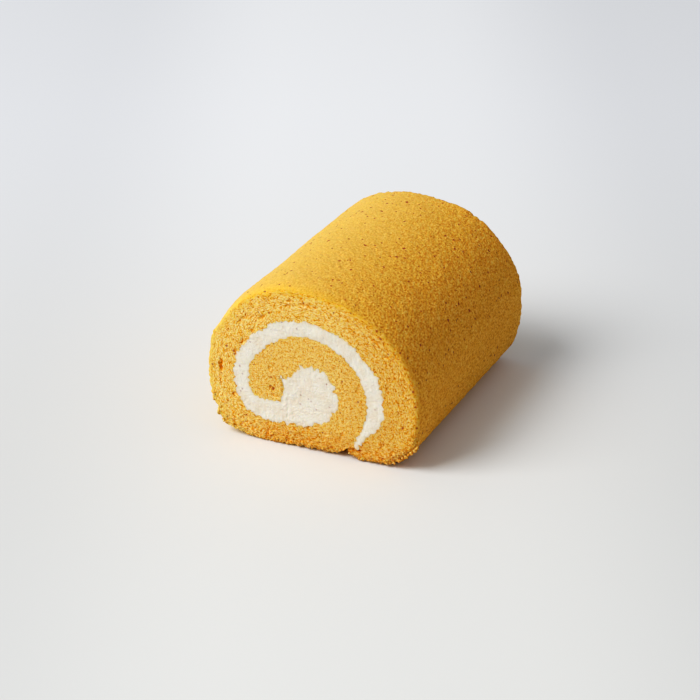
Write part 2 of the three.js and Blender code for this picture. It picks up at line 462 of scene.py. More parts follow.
def base_lift(x, along):
    """The least height of the underside: the lifted base near the cut faces, ragged except beside the
    notch, and all along the right a slope that undercuts it."""
    clear = HALF_LENGTH - np.abs(along)
    ragged = waves(LIFT_WAVES, 31, x, along) * smooth_step(np.abs(x - NOTCH_MIDDLE), 2, 5)
    lift = np.interp(x, *np.transpose(BASE_LIFT)) + ragged * smooth_step(np.abs(x), 42, 32)
    undercut = (x - UNDERCUT[0]) * UNDERCUT[1] + 0.4 * noise(2.3, 33, x, along)
    return np.maximum(lift * smooth_step(clear, LIFT_REACH, 0), np.maximum(undercut, 0))


def skin_points(at, along):
    """The skin at distances round the sheet and places along the roll.

    The outline swells from the front's to the body's as 1 - (1 - distance / reach)^1.5. It goes inwards
    by broad unevenness, dimples, grain, bites near the cut faces, a ragged rim and, low down beside the
    rim, crags. Its height is at least the lifted base's, and the rest of the base is flat."""
    front_squeeze = np.clip(1 - (along + HALF_LENGTH) / SQUEEZE_REACH, 0, 1) ** 1.5
    back_squeeze = np.clip(1 - (HALF_LENGTH - along) / BACK_SQUEEZE_REACH, 0, 1) ** 1.5
    swell = (1 - front_squeeze - BACK_SQUEEZE * back_squeeze)[..., None] * walk(skin_outline, at, skin_swell)
    x, z = np.moveaxis(walk(skin_outline, at) + swell, -1, 0)
    inwards_x, inwards_z = np.moveaxis(walk(skin_outline, at, skin_left), -1, 0)
    front_bites, rear_bites = np.moveaxis(walk(skin_outline, at, skin_bites), -1, 0)
    bites = np.where(along < 0, front_bites, rear_bites)
    clear = HALF_LENGTH - np.abs(along)
    off_table = smooth_step(z, 0.2, 6)
    low = smooth_step(z, CRAG_HEIGHT, 1)
    broad = waves(SKIN_WAVES, 21, at, along)
    dimples = DIMPLE_DEPTH * pits(cell=2.6, share=0.6, least=0.5, most=1.1, seed=24, u=at, v=along)
    fine = SKIN_GRAIN_DEPTH * noise(SKIN_GRAIN_SIZE, 25, at, along)
    rim = (RIM_SINK + waves(RIM_WAVES, 27, at, along)) * smooth_step(clear, RIM_REACH, 0)
    rim = rim * (1 + smooth_step(x, 0, -20) + 2.5 * smooth_step(x, 26, 36) * low)
    torn_side = 0.3 + 0.4 * smooth_step(np.abs(x), 26, 34)
    rough = np.maximum(0.4 + 0.5 * noise(3.7, 29, at, along) + torn_side * noise(1.7, 30, at, along), 0)
    crags = CRAG_DEPTH * rough * low * smooth_step(clear, CRAG_REACH, 0)
    sunk = (broad + dimples + fine) * off_table + rim + crags + bites * smooth_step(clear, LIFT_REACH, 0)
    x = x + inwards_x * sunk
    z = z + inwards_z * sunk * off_table
    return np.stack([x, along + 0 * x, np.maximum(z, base_lift(x, along))], -1)


# Tears in the front face [x, z at one end, x, z at the other, width, depth], and its brown flecks
# [x, z, radius].
TEARS = [
    [-37.1, 25.4, -36.8, 30.2, 0.5, 1.8], [-29.3, 46.6, -25.6, 50.4, 0.4, 1],
    [-20.2, 50, -18.7, 51.3, 0.5, 1], [-30.4, 33.2, -30.6, 35, 0.6, 1.3],
    [-28.3, 38.4, -27.4, 40.2, 0.5, 1.3], [-23.8, 43.9, -22.4, 45.8, 0.45, 0.9],
    [-10.2, 58.8, -7.4, 59.4, 0.35, 1], [-4, 58.6, 2.4, 58.4, 0.4, 1], [-9.4, 57.2, -8, 57.1, 0.5, 0.9],
    [23.2, 51.2, 25.8, 49.7, 0.45, 1], [24.9, 48.2, 26, 46.9, 0.4, 0.9],
    [29.4, 44.4, 30.8, 44.8, 0.4, 0.6], [18.2, 57, 18.6, 54.6, 0.4, 0.6],
    [-17.2, 29.8, -16.2, 31.4, 0.4, 0.9], [-16.6, 22.9, -15.5, 22.2, 0.6, 1.3],
    [18.5, 28, 18.8, 29.6, 0.5, 0.9], [9.2, 7.7, 11, 6.6, 0.8, 0.6], [11.8, 8, 12.6, 9.6, 0.5, 0.9],
    [-19, 1.8, -17.8, 4.6, 0.6, 0.6], [-32.9, 5.6, -31, 3.4, 0.5, 0.9], [18, 4.1, 19.6, 4.5, 0.25, 1.6],
    [14.8, 2.9, 16.1, 3.1, 0.8, 1.1], [-31.8, 17, -30.8, 17.2, 0.55, 1.3],
    [-1.8, 8.6, -1.4, 10, 0.5, 0.9], [39.7, 16.8, 40.8, 18.9, 0.4, 0.8], [5, 54.2, 6, 54, 0.5, 0.8],
    [13.4, 55.2, 18.4, 51.4, 0.35, 0.5], [-24, 52.6, -22.6, 53.8, 0.35, 0.7],
    [-35.9, 20.4, -35.4, 18.6, 0.4, 0.6], [34.4, 38.4, 34.9, 38.6, 0.5, 0.8],
    [36.4, 31.2, 37, 32, 0.7, 0.7], [-13.4, 19.4, -15.6, 20, 0.5, 0.7],
]
FLECKS = [
    [27.6, 51.5, 0.5], [26.2, 54, 0.4], [-40.5, 27.4, 0.4], [-15.6, 63, 0.5], [-15.6, 22.4, 0.6],
    [-16.6, 23.4, 0.4], [-31.6, 34.6, 0.4], [-31.2, 33.4, 0.4], [18.9, 24.4, 0.4], [24.6, 58.2, 0.4],
    [30.7, 46, 0.4], [40.3, 33, 0.4], [22, 16.4, 0.4], [-2.4, 59.5, 0.35], [-20.6, 52.4, 0.35],
    [9.5, 58, 0.35], [-22.8, 41, 0.3], [12.6, 31.4, 0.35],
]
INNER_RIM_RADIUS = 0.3  # of the faces' edges along the cream
FACE_SINK = 0.15  # how far the level crumb lies below the flat face
FRONT_SEED, BACK_SEED = 100, 150
TEAR_WAVE, TEAR_STRAY = 1.3, 0.3  # size of the noise that pushes tears about, and how far
PORE_STRETCH = 2.4  # the outer lap's cells are drawn out along the sheet
DEEP_PORE = 0.5  # depth at which the crumb has its full painted shade
FURROW_SIZE, FURROW_DEPTH = 0.85, 0.3
FURROW_BREAKS = 1.4  # size of the noise that breaks furrows up
GRAIN_WAVES = [[0.65, 0.1], [0.42, 0.08]]
PIT_DEPTH = 0.7  # as a share of a round pit's


def open_crumb(seed, u, v):
    """Depth of the crumb's open cells: short torn furrows along the sheet where smooth noise crosses
    zero, broken up by other noise, between grains of two sizes, with a few small pits."""
    furrows = smooth_step(np.abs(noise(FURROW_SIZE, seed, u, v)), 0.25, 0)
    furrows = furrows * smooth_step(noise(FURROW_BREAKS, seed + 1, u, v), -0.2, 0.5)
    grains = waves(GRAIN_WAVES, seed + 2, u, v)
    small_pits = pits(cell=1.6, share=0.15, least=0.16, most=0.36, seed=seed + 4, u=u, v=v)
    return np.maximum(FURROW_DEPTH * furrows + grains, PIT_DEPTH * small_pits)


def stroke_depth(strokes, x, z):
    """Depth of strokes [x, z at one end, x, z at the other, width, depth] at places on a cut face: the
    full depth along each one's line, fading sideways as exp(-(distance / width)^2)."""
    deepest = 0
    for x0, z0, x1, z1, wide, deep in strokes:
        run = np.array([x1 - x0, z1 - z0])
        share = np.clip(((x - x0) * run[0] + (z - z0) * run[1]) / (run @ run), 0, 1)
        gone = np.hypot(x - x0 - share * run[0], z - z0 - share * run[1])
        deepest = np.maximum(deepest, deep * np.exp(-((gone / wide) ** 2)))
    return deepest


def tear_depth(x, z):
    """Depth of the tears, on coordinates that noise has pushed about and with a strength that it varies."""
    strength = np.maximum(0.5 + 0.25 * noise(TEAR_WAVE, 62, x, z), 0)
    pushed_x = x + TEAR_STRAY * noise(TEAR_WAVE, 60, x, z)
    pushed_z = z + TEAR_STRAY * noise(TEAR_WAVE, 61, x, z)
    return strength * stroke_depth(TEARS, pushed_x, pushed_z)


def fleck_shade(flecks, x, z):
    """1 in flecks [x, z, radius] on a cut face and 0 outside, as exp(-(distance / radius)^4)."""
    darkest = 0
    for fleck_x, fleck_z, radius in flecks:
        darkest = np.maximum(darkest, np.exp(-((np.hypot(x - fleck_x, z - fleck_z) / radius) ** 4)))
    return darkest


def sponge_face(at, shares, side):
    """A cut face of the sheet, at distances along it and shares of its thickness from the skin inwards,
    with what its finish reads. Each point is a blend of two that face each other across the sheet,
    sunk below the flat face by the rounded rim, unevenness, pores and tears.

    Its crumb lies on coordinates u along the sheet and v across it, which follow the rim round, and on
    the inner lap on x and z. It is rough low down, on the right, and where the rim is worn."""
    inner_lap = (at > skin_end)[:, None]
    radius = np.where(inner_lap, INNER_RIM_RADIUS, rim_radius(at, side)[:, None])
    on_skin = skin_points(at, side * (HALF_LENGTH - radius[:, 0]))[:, [0, 2]]
    on_wall = walk(sheet_outer, at)
    on_wall[:, 1] = np.maximum(on_wall[:, 1], base_lift(on_wall[:, 0], side * HALF_LENGTH))
    outer = np.where(at[:, None] <= skin_end, on_skin, on_wall)
    inner = walk(sheet_inner, partner(sheet_outer, sheet_inner, SHEET_PARTNERS, at))
    flat = outer[:, None] * (1 - shares[:, None]) + inner[:, None] * shares[:, None]
    x, z = flat[..., 0], flat[..., 1]
    deep = np.linalg.norm(flat - outer[:, None], axis=-1)
    seed = FRONT_SEED if side < 0 else BACK_SEED
    u = np.where(inner_lap, x, at[:, None] / PORE_STRETCH)
    rounding = radius * (1 - np.sqrt(1 - np.maximum(1 - deep / radius, 0) ** 2))
    v = np.where(inner_lap, z, rounding - deep)
    worn = ((radius - RIM_RADIUS) / (WORN_RADIUS - RIM_RADIUS)).clip(0) * smooth_step(deep, 3.5, 0.8)
    low = smooth_step(z, CRAG_HEIGHT, 1)
    rough = np.maximum(smooth_step(x, 5, 32), smooth_step(z, 20, 8) + 0.5 * smooth_step(z, 8, 1))
    rough = np.maximum(rough, 0.5 * inner_lap)
    calm = smooth_step(deep, -0.6, 1.8) * smooth_step(np.abs(at - skin_end), 0, 1.5)[:, None]
    pores = open_crumb(seed, u, v) * calm
    tears = tear_depth(x, z) if side < 0 else 0 * x
    uneven = 0.08 * noise(5.5, seed + 40, x, z) + (0.05 + 0.3 * low) * noise(1.9, seed + 41, x, z)
    lumps = (0.1 * low + 0.2 * worn) * noise(1.1, seed + 42, x, z)
    inside_rim = smooth_step(deep, 0, 0.4)
    sunk = FACE_SINK + 0.2 * low + uneven + lumps + (0.5 + 0.6 * rough) * pores + tears
    sunk = np.maximum(sunk, 0) * inside_rim + rounding
    rim_width = np.where(inner_lap, 0.5, 1.9 + 0.7 * noise(3.1, seed + 43, x, z))
    rim = np.where(inner_lap, 0.3, 1 - 0.3 * worn) * np.exp(-((deep / rim_width) ** 2))
    marks = {
        # The pore mark is painted shade: deeper orange where pores and tears are deep, and on the coarser
        # crumb on the right and low down.
        "pore_painted_shade": np.clip((0.7 * pores + 0.7 * tears) / DEEP_PORE + 0.12 * rough * calm, 0, 1.5),
        "rim": rim,
        "cut": np.where(shares > 0, 1, 0.5) + 0 * deep,
        "fleck": fleck_shade(FLECKS, x, z) if side < 0 else 0 * x,
        "u": u,
        "v": v,
    }
    return np.stack([x, side * (HALF_LENGTH - sunk), z], -1), marks


def quilt(numbers):
    """Triangles that fill a grid of numbered points."""
    a, b, c, d = numbers[:-1, :-1], numbers[1:, :-1], numbers[1:, 1:], numbers[:-1, 1:]
    return np.stack([a, b, c, a, c, d], -1).reshape(-1, 3)


def stitch(first, second, first_at=None, second_at=None):
    """Triangles that close the strip between two rows of numbered points. The points of both rows are
    taken in turn by where they lie along them, evenly if not given, and each makes a triangle with the
    one before it in its row and the last of the other row."""
    first_at = np.linspace(0, 1, len(first)) if first_at is None else first_at
    second_at = np.linspace(0, 1, len(second)) if second_at is None else second_at
    is_second = np.repeat([False, True], [len(first) - 1, len(second) - 1])
    is_second = is_second[np.argsort(np.concatenate([first_at[1:], second_at[1:]]), kind="stable")]
    i, j = np.cumsum(~is_second), np.cumsum(is_second)
    before = np.where(is_second, second[j - 1], first[i - 1])
    from_second = np.stack([first[i], second[j], before], -1)
    from_first = np.stack([before, first[i], second[j]], -1)
    return np.where(is_second[:, None], from_second, from_first)


SHARP_EDGE = math.radians(75)


def make_piece(name, grids, faces, finish):
    """A smooth mesh object of grids of points in millimetres, with their marks, triangles and a finish."""
    mesh = bpy.data.meshes.new(name)
    points = np.vstack([points.reshape(-1, 3) for points, _ in grids])
    mesh.from_pydata((points / 1000).tolist(), [], np.vstack(faces).tolist())
    for mark in grids[0][1]:
        values = np.concatenate([marks[mark].ravel() for _, marks in grids])
        mesh.attributes.new(mark, "FLOAT", "POINT").data.foreach_set("value", values.astype(np.float32))
    mesh.set_sharp_from_angle(angle=SHARP_EDGE)
    mesh.materials.append(finish)
    piece = bpy.data.objects.new(name, mesh)
    scene.collection.objects.link(piece)
    return piece


def numbered(grids):
    """The numbers of the points of each grid, when all are in one list."""
    shapes = [points.shape[:2] for points, _ in grids]
    starts = np.cumsum([0, *map(math.prod, shapes)])
    return [start + np.arange(math.prod(shape)).reshape(shape) for start, shape in zip(starts, shapes)]


WALL_GAP = 0.02  # between the last column on the skin and the first on the wall, mm


def face_columns(skin_columns, wall_columns):
    """Distances along the sheet of a cut face's columns, with one at the end of the skin."""
    sheet_end = run_lengths(sheet_outer)[-1] - END_BLUNT
    on_skin = np.linspace(0, skin_end, skin_columns)
    return np.append(on_skin, np.linspace(skin_end + WALL_GAP, sheet_end, wall_columns))


# Columns lie 0.28 mm apart on the front face, 0.6 mm on the back and 0.8 mm on the skin, but 2 mm
# on the flat base, which is hidden.
FRONT_COLUMNS, BACK_COLUMNS = (850, 444), (400, 209)
FRONT_ROWS, BACK_ROWS = 40, 18
ROW_CROWDING = 1.15  # rows lie closer together towards the skin
BASE_STEP, SKIN_STEP = 2.0, 0.8
RIM_STEPS = [0.4, 0.8, 1.4]  # distances of the skin's first rows from a rim

front_at, back_at = face_columns(*FRONT_COLUMNS), face_columns(*BACK_COLUMNS)
base_right = nearest(skin_outline, (29, 0))
base_left = nearest(skin_outline, (-27, 0))
skin_at = np.concatenate([
    np.linspace(0, base_right, round(base_right / BASE_STEP)),
    np.linspace(base_right, base_left, round((base_left - base_right) / SKIN_STEP))[1:],
    np.linspace(base_left, skin_end, round((skin_end - base_left) / BASE_STEP))[1:],
])
skin_rows = np.array([*RIM_STEPS, *np.arange(RIM_STEPS[-1] + SKIN_STEP, HALF_LENGTH, SKIN_STEP)])
skin_rows = np.concatenate([skin_rows, 2 * HALF_LENGTH - skin_rows[::-1]]) / (2 * HALF_LENGTH)
skin_ends = [side * (HALF_LENGTH - rim_radius(skin_at, side))[:, None] for side in (-1, 1)]
skin_along = skin_ends[0] * (1 - skin_rows) + skin_ends[1] * skin_rows

front_shares = np.linspace(0, 1, FRONT_ROWS) ** ROW_CROWDING
back_shares = np.linspace(0, 1, BACK_ROWS) ** ROW_CROWDING
skin_grid = skin_points(skin_at[:, None], skin_along)
skin_marks = {mark: np.zeros(skin_grid.shape[:2]) for mark in ("pore_painted_shade", "cut", "fleck")}
skin_rim_width = 4 + noise(4, 50, skin_at[:, None], skin_along)
skin_marks["rim"] = np.exp(-(((skin_along + HALF_LENGTH) / skin_rim_width) ** 2))
skin_marks["u"], skin_marks["v"] = np.broadcast_arrays(skin_at[:, None], skin_along)
sponge_grids = [
    sponge_face(front_at, front_shares, -1),
    sponge_face(back_at, back_shares, 1),
    (skin_grid, skin_marks),
]
front, back, skin = numbered(sponge_grids)
front_turn, back_turn = FRONT_COLUMNS[0], BACK_COLUMNS[0]
flap_column = np.array([front[0, 0], *skin[0], back[0, 0]])
lap_column = np.array([front[front_turn - 1, 0], *skin[-1], back[back_turn - 1, 0]])
sponge_faces = [
    quilt(front),
    quilt(back)[:, ::-1],
    quilt(skin)[:, ::-1],
    stitch(front[:front_turn, 0], skin[:, 0], front_at[:front_turn], skin_at)[:, ::-1],
    stitch(skin[:, -1], back[:back_turn, 0], skin_at, back_at[:back_turn])[:, ::-1],
    stitch(lap_column, np.array([front[front_turn, 0], back[back_turn, 0]])),
    stitch(front[front_turn:, 0], back[back_turn:, 0])[:, ::-1],
    stitch(flap_column, np.array([front[0, 1], back[0, 1]]))[:, ::-1],
    stitch(front[0, 1:], back[0, 1:]),
    stitch(front[-1], back[-1])[:, ::-1],
    stitch(front[:, -1], back[:, -1]),
]

CRUMB_LIGHT = rgb(255, 230, 162)
CRUMB_MIDDLE = rgb(255, 207, 88)
CRUMB_DEEP = rgb(248, 158, 6)
CRUMB_PIT = rgb(200, 112, 4)
CRUMB_PAINTED_SHADE = (0.87, 0.81, 0.67, 1)  # painted shade on the crumb on the right, away from the window, and at the bottom, where it is also coarser
BASE_PAINTED_SHADE = (0.99, 0.9, 0.85, 1)  # painted shade and warm reflected light on what is nearly on the table
RIM_YELLOW = rgb(250, 198, 62)
RIM_PALE_PAINTED_LIT = rgb(255, 213, 104)  # on the left, where the rim is smoother and lit by the window: partly painted light
# Pale for the lit left of the skin and gold for its shaded right: partly painted light and shade.
SKIN_PALE_PAINTED_LIT = rgb(235, 191, 95)
SKIN_GOLD_PAINTED_SHADE = rgb(240, 177, 65)
SKIN_GRAIN = rgb(246, 204, 108)
SKIN_PIT = rgb(188, 98, 2)
SPECK_BROWN = rgb(154, 50, 44)
CRUMB_GRAIN = 0.75
GRAIN_WOBBLE, GRAIN_STRAY = 0.8, 1.2  # size of the noise that pushes grains out of shape, and how far
CRUMB_BUMP = 0.0006  # metres

sponge_finish, sponge_shader, sponge_place = new_finish("sponge_crumb", {
    "Roughness": 0.85, "Specular IOR Level": 0.25, "Subsurface Weight": 0.3,
    "Subsurface Radius": (1, 0.6, 0.2), "Subsurface Scale": 0.0011,
})


def mark_of(place, name):
    """The wire of one of a mesh's marks."""
    return place.node("Attribute", {"attribute_name": name}, {}, "Fac")


def cloud(place, size, detail=2, rough=0.5):
    """Noise from 0 to 1 of a size in millimetres, with octaves of detail that weaken by a share each."""
    sockets = {"Vector": place, "Scale": 1 / size, "Detail": detail, "Roughness": rough}
    return place.node("TexNoise", {}, sockets)


def stirred(place, size, reach):
    """Places pushed about by coloured noise of a size, reach times as far as its colour's parts."""
    push = place.node("TexNoise", {}, {"Vector": place, "Scale": 1 / size, "Detail": 1}, "Color")
    return push.node("VectorMath", {"operation": "MULTIPLY_ADD"}, {0: push, 1: (reach,) * 3, 2: place})


SPECK_WOBBLE, SPECK_STRAY = 0.5, 0.9  # size of the noise that pushes specks out of shape, and how far


def specks(place, cell, share, radius, seed, soft):
    """1 inside small balls and 0 outside, with soft edges. The balls are pushed out of shape, and lie at
    random places in a share of the cells of space, with sizes of half the radius or more."""
    pushed = stirred(place, SPECK_WOBBLE, SPECK_STRAY)
    shifted = pushed.node("VectorMath", {"operation": "ADD"}, {0: pushed, 1: (seed,) * 3})
    balls = {"Vector": shifted, "Scale": 1 / cell}
    gone = place.node("TexVoronoi", {}, balls, "Distance") * cell
    drawn = place.node("TexVoronoi", {}, balls, "Color")
    there = drawn.node("SeparateColor", {}, {0: drawn}, "Red").rise(share, share - 0.001)
    size = drawn.node("SeparateColor", {}, {0: drawn}, "Green") * 0.5 + 0.5
    return (size * radius - gone).rise(0, soft) * there


# The cells of the crumb follow the sheet: dark lines between lumpy grains, and finer dots.
pore_painted_shade, rim, is_cut, fleck = (mark_of(sponge_place, name) for name in ("pore_painted_shade", "rim", "cut", "fleck"))
sheet_u, sheet_v = (mark_of(sponge_place, name) for name in "uv")
sheet_place = sheet_u.node("CombineXYZ", {}, {0: sheet_u, 1: sheet_v})
grain_place = stirred(sheet_place, GRAIN_WOBBLE, GRAIN_STRAY)
to_middle = {0: grain_place, 1: (-GRAIN_STRAY / 2,) * 3}
grain_place = grain_place.node("VectorMath", {"operation": "ADD"}, to_middle)
grain_edges = {"Vector": grain_place, "Scale": 1 / CRUMB_GRAIN}
grain_edge = grain_place.node("TexVoronoi", {"feature": "DISTANCE_TO_EDGE"}, grain_edges, "Distance")
crumb_lines = grain_edge.rise(0.14, 0.02) * cloud(sheet_place, 1.1, 2).rise(0.38, 0.6)
crumb_dots = cloud(sheet_place, 0.38, 3, 0.65).rise(0.46, 0.7)
# The crumb's shade mixes its own dark lines and dots with the painted shade of deep pores and tears.
crumb_shade = (pore_painted_shade * 0.6).greater(crumb_lines) + crumb_dots * 0.78
crumb_flat = cloud(sheet_place, 0.5, 3, 0.65).rise(0.42, 0.6).colour(CRUMB_LIGHT, CRUMB_MIDDLE)
crumb_colour = crumb_shade.rise(0.05, 0.8).colour(crumb_flat, CRUMB_DEEP)
crumb_colour = crumb_shade.rise(0.75, 1.4).colour(crumb_colour, CRUMB_PIT)
# The rim beside the skin is yellow where its crumb is whole: less so low down, and all of it on the left,
# where it is painted paler in the window's light.
across, height = (sponge_place.node("SeparateXYZ", {}, {0: sponge_place}, axis) for axis in "XZ")
crumb_rim = rim * (1 - crumb_shade.rise(0.2, 0.9)) * cloud(sheet_place, 0.7).rise(0.2, 0.6)
crumb_rim = crumb_rim * (1 - height.rise(14, 6) * 0.8)
crumb_rim = crumb_rim.greater(rim * across.rise(-24, -36) * 0.85)
rim_colour = across.rise(-22, -38).colour(RIM_YELLOW, RIM_PALE_PAINTED_LIT)
crumb_colour = crumb_rim.colour(crumb_colour, rim_colour)
# Painted shade: the crumb darkens towards the right, away from the window, and low down.
crumb_low_painted_shade = height.rise(15, 4) * across.rise(-32, -12)
crumb_colour = crumb_colour.tinted(across.rise(2, 36).greater(crumb_low_painted_shade), CRUMB_PAINTED_SHADE)

# The skin is grainy, as on a peach: pale grains between deeper pits, and less so on its left.
# Painted light and shade: the skin's colour runs from pale on the left, where the window's light falls, to
# gold on the right, and its pits darken to the right.
skin_lit_to_shade = across.rise(-30, 38)
skin_place = sponge_place.node("VectorMath", {"operation": "MULTIPLY"}, {0: sponge_place, 1: (1, 0.65, 1)})
skin_lumps = cloud(skin_place, 0.85, 3, 0.6)
skin_pits = cloud(skin_place, 0.7, 3, 0.65)
skin_colour = skin_lit_to_shade.colour(SKIN_PALE_PAINTED_LIT, SKIN_GOLD_PAINTED_SHADE)
# The rim's yellow reaches onto the skin only on its lit left and top: partly painted light.
skin_colour = (rim * (1 - skin_lit_to_shade) * 0.9).colour(skin_colour, rim_colour)
skin_colour = (skin_pits.rise(0.5, 0.3) * (skin_lit_to_shade * 0.6 + 0.25)).colour(skin_colour, SKIN_GRAIN)
skin_colour = (skin_pits.rise(0.4, 0.72) * (skin_lit_to_shade * 0.62 + 0.25)).colour(skin_colour, SKIN_PIT)

# Specks of two sizes, a quarter larger on the skin. The skin's grain is flatter near the top.
speck_size = 1.25 - is_cut * 0.25
small_specks = specks(sponge_place, cell=2.3, share=0.4, radius=speck_size * 0.45, seed=0, soft=0.12)
large_specks = specks(sponge_place, cell=4, share=0.6, radius=speck_size * 0.6, seed=40, soft=0.12)
sponge_specks = (small_specks.greater(large_specks) * (1 - is_cut * 0.1)).greater(fleck)
# Painted shade and warm reflected light low down, near the table.
near_table_painted_shade = height.rise(12, 2) * across.rise(-34, -14)
sponge_colour = is_cut.colour(skin_colour, crumb_colour).tinted(near_table_painted_shade, BASE_PAINTED_SHADE)
(sponge_specks * 0.9).colour(sponge_colour, SPECK_BROWN).feed(sponge_shader, "Base Color")
skin_height = (1 - skin_lumps) * (skin_lit_to_shade * 0.95 + 0.85) * (1 - height.rise(40, 64) * 0.4)
crumb_height = (1 - crumb_dots) * 0.35
sponge_height = skin_height * (1 - is_cut) + crumb_height * is_cut
bump = {"Height": sponge_height, "Strength": 1.0, "Distance": CRUMB_BUMP}
sponge_height.node("Bump", {}, bump).feed(sponge_shader, "Normal")

sponge = make_piece("rolled_sponge", sponge_grids, sponge_faces, sponge_finish)
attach(sponge, "root")
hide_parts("sponge")


# ---------------------------------------------------------------------------------------------
# Crumbs: grains of sponge that the knife has left on the front face, most of them along its ragged
# lower edge, and larger clods that hang at its torn corners. Each is a lumpy little ball that sits
# partly in the face, and all are one mesh.

CRUMB_COUNT = 260
CRUMB_RADII = (0.2, 0.65)
CRUMB_SINK = 0.1  # how far a crumb's middle lies behind the face, as a share of its radius
CRUMB_CLEAR = 1.7  # height of the lowest crumbs' middles over the table, as a share of their radius
# The crumbs take a little of the pore mark's painted shade.
CRUMB_MARKS = {"pore_painted_shade": 0.2, "rim": 0, "cut": 1, "fleck": 0}
CLODS = [  # [x, z, radius]
    [29.4, 1.9, 0.5], [31.2, 2.3, 0.5], [32.7, 2.5, 0.7], [34.6, 3.9, 0.8], [36.2, 5.2, 0.6],
    [37.5, 5.9, 0.8], [38.6, 7.1, 0.5], [39.6, 7.9, 0.8], [41, 9.3, 0.7], [41.7, 10.5, 0.6],
    [-38.4, 7, 0.6], [-37.1, 4.8, 0.5], [-35.2, 3.5, 0.5], [-30.6, 2.5, 0.5], [-27.6, 1.8, 0.6],
    [17.4, 3, 0.5], [19.4, 2, 0.6], [21.4, 1.7, 0.5], [-36.1, 4.1, 0.6], [-33.5, 3.4, 0.6],
    [-29.2, 2.4, 0.5], [-25, 1.4, 0.5], [15.9, 3.1, 0.5],
]
CLOD_DEPTH = 0.8  # of the clods' middles behind the face


def ball(rings=6, sectors=10):
    """Points and triangles of a ball of radius 1: its two poles and rings between them."""
    down = np.arange(1, rings) / rings * np.pi
    turn = np.arange(sectors) / sectors * 2 * np.pi
    wide, high = np.sin(down)[:, None], np.cos(down)[:, None] + 0 * turn
    points = np.stack([wide * np.cos(turn), wide * np.sin(turn), high], -1).reshape(-1, 3)
    numbers = np.arange(len(points)).reshape(rings - 1, sectors)
    numbers = np.hstack([numbers, numbers[:, :1]])
    top, bottom = len(points), len(points) + 1
    caps = [[top, a, b] for a, b in zip(numbers[0], numbers[0, 1:])]
    caps += [[bottom, b, a] for a, b in zip(numbers[-1], numbers[-1, 1:])]
    return np.vstack([points, [0, 0, 1], [0, 0, -1]]), np.vstack([quilt(numbers), caps])


face_points = sponge_grids[0][0][:, :9]
face_x, face_z = face_points[..., 0], face_points[..., 2]
crumb_weight = smooth_step(face_z, 10, 2) + 0.4 * smooth_step(np.abs(face_x), 34, 39) * (face_z < 16)
crumb_weight[FRONT_COLUMNS[0]:] = 0
crumb_draws = np.random.default_rng(5)
crumb_chances = (crumb_weight / crumb_weight.sum()).ravel()
crumb_picks = crumb_draws.choice(crumb_weight.size, CRUMB_COUNT, p=crumb_chances)
crumb_radius = CRUMB_RADII[0] + np.diff(CRUMB_RADII) * crumb_draws.random(CRUMB_COUNT) ** 2
crumb_middle = face_points.reshape(-1, 3)[crumb_picks] + crumb_radius[:, None] * [0, CRUMB_SINK, 0]
clod_x, clod_z, clod_radius = np.transpose(CLODS)
clod_middle = np.stack([clod_x, 0 * clod_x + CLOD_DEPTH - HALF_LENGTH, clod_z], -1)
crumb_middle, crumb_radius = np.vstack([crumb_middle, clod_middle]), np.append(crumb_radius, clod_radius)
crumb_middle[:, 2] = np.maximum(crumb_middle[:, 2], CRUMB_CLEAR * crumb_radius)

ball_points, ball_faces = ball()
crumb_shape = ball_points * (0.75 + 0.5 * crumb_draws.random((len(crumb_middle), 1, 3)))
crumb_seat = crumb_shape * 1.2 + 9 * np.arange(len(crumb_middle))[:, None, None]
crumb_lumps = 1 + 0.5 * noise(1, 300, *np.moveaxis(crumb_seat, -1, 0))[..., None]
crumb_points = crumb_middle[:, None] + crumb_shape * crumb_lumps * crumb_radius[:, None, None]
crumb_marks = {mark: np.full(crumb_points.shape[:2], value) for mark, value in CRUMB_MARKS.items()}
crumb_marks["u"], crumb_marks["v"] = crumb_points[..., 0], crumb_points[..., 2]
crumb_faces = ball_faces + len(ball_points) * np.arange(len(crumb_middle))[:, None, None]

crumbs = make_piece("crumbs", [(crumb_points, crumb_marks)], [crumb_faces.reshape(-1, 3)], sponge_finish)
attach(crumbs, "root")


# ---------------------------------------------------------------------------------------------
# Cream: whipped cream spread on the sheet, thin along the laps and thick in the middle, where the
# knife has dragged it. It is a slab between the same two torn borders, with both faces as grids.

CREAM_OVERLAP = 0.3  # how far the cream soaks into the crumb round it
CREAM_STEP = 0.34  # between the points of its faces, mm
CREAM_WAVES = [[7, 0.12], [2.2, 0.07]]
CREAM_SINK = 0.14  # how far the level cream lies below the flat face
SOAK_REACH = 0.5  # of the crumb's colour into it

# Lines that the knife has dragged and ridges between them, as strokes, and flecks.
KNIFE_LINES = [
    [-9.9, 11.6, -9.7, 19.4, 0.25, 0.3], [-3.4, 14, -3.2, 20, 0.2, 0.12], [3.6, 17, 3.7, 24, 0.2, 0.1],
]
CREAM_FLECKS = [
    [-4.2, 22.3, 0.4], [-1, 21.4, 0.3], [0, 20.6, 0.3], [7.4, 19.8, 0.3], [-4.4, 18.5, 0.35],
    [2, 17.7, 0.3], [-29, 29, 0.4], [-28, 26, 0.3], [-28.3, 19.8, 0.35], [-29, 18.7, 0.35],
    [-5.2, 48.8, 0.35], [25.6, 22.8, 0.35],
]
RIDGES = [[-10, 11.2, -4, 11.4, 0.5, 0.25], [-24, 46.6, -21, 48.2, 0.6, 0.15]]


GRID_CLEAR = 0.6  # of the inner points from the outline, as a share of a step
KEEP_INSIDE, SAME_PLACE = 1, 1e-5  # Delaunay's output: triangles inside the outline, and its tolerance


